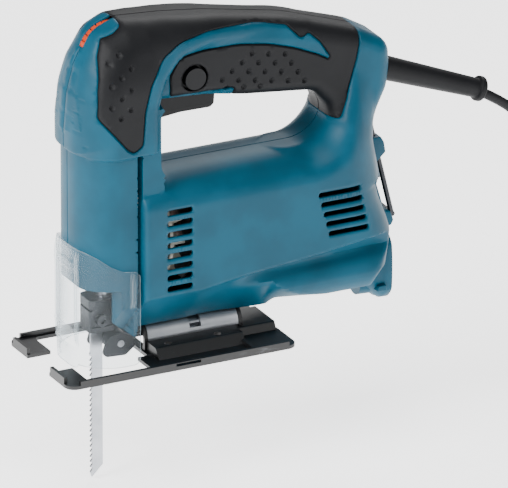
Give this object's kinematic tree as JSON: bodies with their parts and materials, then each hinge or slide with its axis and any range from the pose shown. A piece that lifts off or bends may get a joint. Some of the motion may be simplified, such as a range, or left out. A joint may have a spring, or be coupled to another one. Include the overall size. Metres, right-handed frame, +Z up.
{
  "type": "corded jigsaw",
  "caption": "Corded jigsaw with a closed handle, reciprocating blade, roller guide, clear chip cover, tilting sole plate, speed dial, trigger and stored hex key.",
  "frame": {"origin": "where the blade's centre line crosses the plane of the sole", "axes": "+X rearward towards the cord, +Y to the operator's right, +Z up away from the work"},
  "size_m": [0.3995, 0.1163, 0.2705],
  "materials": {
    "housing_teal": "satin moulded",
    "grip_rubber": "fine matt",
    "steel_dark": "black paint",
    "steel_bright": "machined",
    "steel_zinc": "zinc plated",
    "screw_steel": "dark steel",
    "alloy": "die cast",
    "bronze": "sintered",
    "lamination": "stacked sheet",
    "copper": "enamelled wire",
    "black_plastic": "moulded",
    "white_plastic": "moulded",
    "carbon": "carbon",
    "dial_orange": "moulded",
    "clear_cover": "clear moulded plastic",
    "cord_rubber": "smooth",
    "grease_steel": "ground"
  },
  "bodies": {
    "housing": {"housing_left": "housing_teal", "housing_right": "housing_teal", "grip_left": "grip_rubber", "grip_right": "grip_rubber", "housing_screws": "screw_steel", "gear_housing": "alloy", "lower_bushing": "bronze", "upper_bushing": "bronze", "gear_axle": "grease_steel", "front_bearing": "grease_steel", "rear_bearing": "grease_steel", "stator": "lamination", "field_coils": "copper", "air_baffle": "black_plastic", "brush_holders": "bronze", "carbon_brushes": "carbon", "brush_springs": "steel_bright", "switch_body": "black_plastic", "trigger_pin": "steel_bright", "speed_module": "black_plastic", "capacitor": "white_plastic", "clamp_washer": "steel_zinc", "clamp_bolt": "screw_steel", "clamp_nut": "steel_bright", "cord_guard": "grip_rubber", "cord_clamp": "black_plastic", "cord": "cord_rubber", "cord_coil": "cord_rubber", "cord_tie": "black_plastic", "plug": "cord_rubber", "plug_blades": "steel_bright"},
    "base": {"base_plate": "steel_dark", "bevel_tube": "steel_zinc"},
    "retainer": {"retainer": "screw_steel", "roller_pin": "steel_bright"},
    "roller": {"guide_roller": "screw_steel"},
    "plunger": {"plunger": "steel_bright", "blade_clamp": "screw_steel", "clamp_screw": "screw_steel", "blade": "steel_bright"},
    "drive_gear": {"drive_gear": "grease_steel", "yoke_roller": "grease_steel"},
    "armature": {"armature_shaft": "grease_steel", "armature_core": "lamination", "armature_windings": "copper", "commutator": "copper", "cooling_fan": "white_plastic"},
    "trigger": {"trigger": "black_plastic"},
    "lock_button": {"lock_button": "black_plastic"},
    "speed_dial": {"speed_dial": "dial_orange"},
    "chip_cover": {"chip_cover": "clear_cover"},
    "hex_key": {"hex_key": "screw_steel"}
  },
  "joints": [
    {"name": "base_tilt", "type": "hinge", "parent": "housing", "child": "base", "pos_m": [0.0545, 0, 0.0075], "axis": [1, 0, 0], "range_deg": [-45, 45]},
    {"name": "retainer_shift", "type": "slide", "parent": "housing", "child": "retainer", "axis": [1, 0, 0], "range_m": [0, 0.005]},
    {"name": "roller_spin", "type": "hinge", "parent": "retainer", "child": "roller", "pos_m": [0.0099, 0, 0.0095], "axis": [0, 1, 0], "continuous": true},
    {"name": "gear_spin", "type": "hinge", "parent": "housing", "child": "drive_gear", "pos_m": [0.0175, 0, 0.0946], "axis": [1, 0, 0], "range_deg": [0, 180]},
    {"name": "plunger_stroke", "type": "slide", "parent": "housing", "child": "plunger", "axis": [0, 0, 1], "range_m": [0, 0.01801]},
    {"name": "armature_spin", "type": "hinge", "parent": "housing", "child": "armature", "pos_m": [0.07, 0, 0.069], "axis": [1, 0, 0], "range_deg": [-1260.5, 0]},
    {"name": "trigger_press", "type": "hinge", "parent": "housing", "child": "trigger", "pos_m": [0.0315, 0, 0.1546], "axis": [0, -1, 0], "range_deg": [0, 5.5], "stiffness_Nm_per_rad": 2, "springref_deg": -5.73},
    {"name": "lock_press", "type": "slide", "parent": "housing", "child": "lock_button", "axis": [0, 1, 0], "range_m": [0, 0.0025], "stiffness_N_per_m": 600, "springref_m": -0.002},
    {"name": "dial_turn", "type": "hinge", "parent": "housing", "child": "speed_dial", "pos_m": [0.009, 0, 0.177], "axis": [0, 1, 0], "range_deg": [0, 240]},
    {"name": "cover_lift", "type": "slide", "parent": "housing", "child": "chip_cover", "axis": [0, 0, 1], "range_m": [0, 0.045]},
    {"name": "key_pull", "type": "slide", "parent": "housing", "child": "hex_key", "axis": [0.2346, 0, -0.9721], "range_m": [0, 0.028]}
  ],
  "couplings": [
    {"joint": "plunger_stroke", "follows": "gear_spin", "m_per_rad": 0.0057296},
    {"joint": "armature_spin", "follows": "gear_spin", "ratio": -7}
  ]
}
